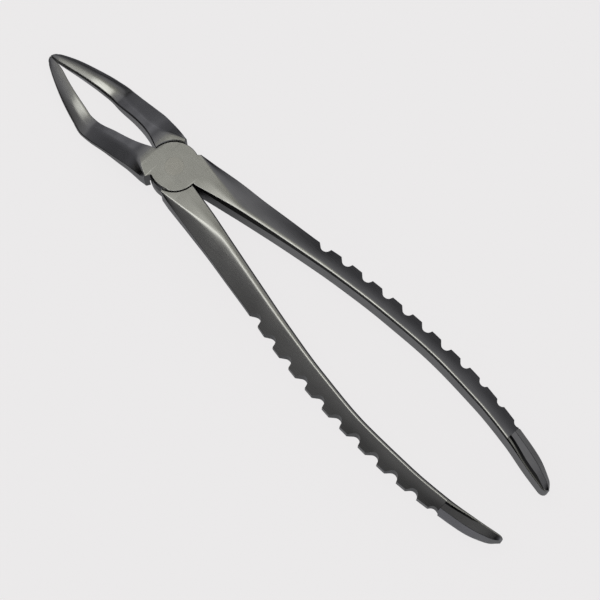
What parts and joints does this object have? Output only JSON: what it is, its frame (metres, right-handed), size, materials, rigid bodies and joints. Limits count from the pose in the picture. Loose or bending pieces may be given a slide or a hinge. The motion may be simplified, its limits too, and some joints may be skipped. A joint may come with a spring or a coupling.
{
  "type": "dental extraction forceps",
  "caption": "Hand forceps with cranked slim beaks, a flush riveted lap joint and long bowed handles notched for grip, shown closed.",
  "frame": {"origin": "on the pivot axis, in the flat back face of the joint", "axes": "+Z along the pivot axis towards the joint's front face, +Y from the joint towards the beak tips; the beaks drop towards -Z"},
  "size_m": [0.0352, 0.1804, 0.0172],
  "materials": {
    "dark_steel": "satin dark steel",
    "rivet_steel": "satin, ground flush"
  },
  "bodies": {
    "top": {"top_half": "dark_steel", "pivot_rivet": "rivet_steel"},
    "under": {"under_half": "dark_steel"}
  },
  "joints": [
    {"name": "pivot", "type": "hinge", "parent": "top", "child": "under", "pos_m": [0, 0, 0.0042], "axis": [0, 0, -1], "range_deg": [0, 38]}
  ]
}
